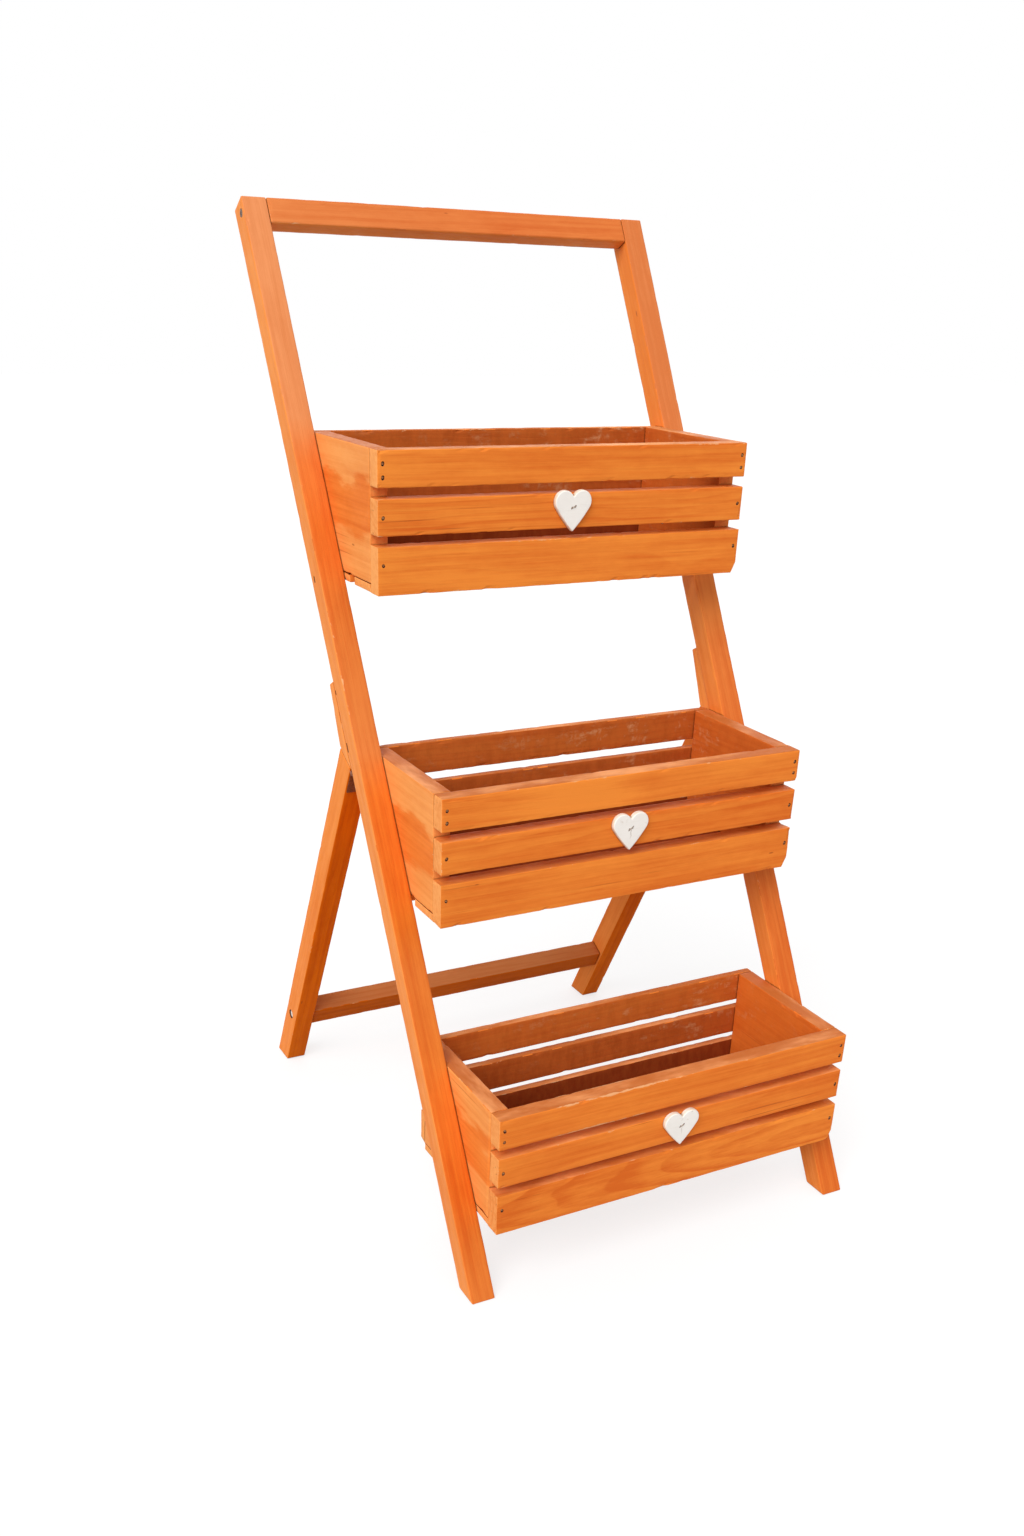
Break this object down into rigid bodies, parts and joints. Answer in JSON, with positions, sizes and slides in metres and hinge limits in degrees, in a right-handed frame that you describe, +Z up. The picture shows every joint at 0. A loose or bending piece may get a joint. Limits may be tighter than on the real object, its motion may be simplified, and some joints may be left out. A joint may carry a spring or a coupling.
{
  "type": "plant stand",
  "caption": "Folding ladder-style wooden plant stand: slatted boxes stepped between leaning legs, propped by a hinged rear frame with a stretcher.",
  "frame": {"origin": "centre of the bounding box's base, on the floor", "axes": "+Z up, front of the stand towards -Y, +X to the viewer's right"},
  "size_m": [0.5, 0.6259, 1.0392],
  "materials": {
    "stained_frame_wood": "satin orange-brown stain",
    "stained_box_wood": "satin orange-brown stain",
    "heart_paint": "off-white paint on wood",
    "steel": "zinc-plated steel"
  },
  "bodies": {
    "front_frame": {"front_leg_left": "stained_frame_wood", "front_leg_right": "stained_frame_wood", "top_rail": "stained_frame_wood", "hinge_cleat_left": "stained_frame_wood", "hinge_cleat_right": "stained_frame_wood", "lower_box_panel_left": "stained_box_wood", "lower_box_panel_right": "stained_box_wood", "lower_box_front_slat_bottom": "stained_box_wood", "lower_box_front_slat_middle": "stained_box_wood", "lower_box_front_slat_top": "stained_box_wood", "lower_box_back_slat_bottom": "stained_box_wood", "lower_box_back_slat_middle": "stained_box_wood", "lower_box_back_slat_top": "stained_box_wood", "lower_box_floor_board_1": "stained_box_wood", "lower_box_floor_board_2": "stained_box_wood", "lower_box_floor_board_3": "stained_box_wood", "middle_box_panel_left": "stained_box_wood", "middle_box_panel_right": "stained_box_wood", "middle_box_front_slat_bottom": "stained_box_wood", "middle_box_front_slat_middle": "stained_box_wood", "middle_box_front_slat_top": "stained_box_wood", "middle_box_back_slat_bottom": "stained_box_wood", "middle_box_back_slat_middle": "stained_box_wood", "middle_box_back_slat_top": "stained_box_wood", "middle_box_floor_board_1": "stained_box_wood", "middle_box_floor_board_2": "stained_box_wood", "middle_box_floor_board_3": "stained_box_wood", "upper_box_panel_left": "stained_box_wood", "upper_box_panel_right": "stained_box_wood", "upper_box_front_slat_bottom": "stained_box_wood", "upper_box_front_slat_middle": "stained_box_wood", "upper_box_front_slat_top": "stained_box_wood", "upper_box_back_slat_bottom": "stained_box_wood", "upper_box_back_slat_middle": "stained_box_wood", "upper_box_back_slat_top": "stained_box_wood", "upper_box_floor_board_1": "stained_box_wood", "upper_box_floor_board_2": "stained_box_wood", "upper_box_floor_board_3": "stained_box_wood", "lower_box_heart": "heart_paint", "middle_box_heart": "heart_paint", "upper_box_heart": "heart_paint", "hinge_fixed_leaf_left": "steel", "hinge_fixed_leaf_right": "steel", "hinge_pin_left": "steel", "hinge_pin_right": "steel", "hinge_fixed_screws": "steel", "rail_screws": "steel", "cleat_screws": "steel", "slat_nails": "steel", "floor_nails": "steel", "box_screws": "steel", "heart_staples": "steel"},
    "rear_frame": {"rear_leg_left": "stained_frame_wood", "rear_leg_right": "stained_frame_wood", "rear_stretcher": "stained_frame_wood", "hinge_moving_leaf_left": "steel", "hinge_moving_leaf_right": "steel", "hinge_moving_screws": "steel", "stretcher_screws": "steel"}
  },
  "joints": [
    {"name": "rear_frame_fold", "type": "hinge", "parent": "front_frame", "child": "rear_frame", "pos_m": [0, 0.00727, 0.49], "axis": [-1, 0, 0], "range_deg": [0, 53.5]}
  ]
}
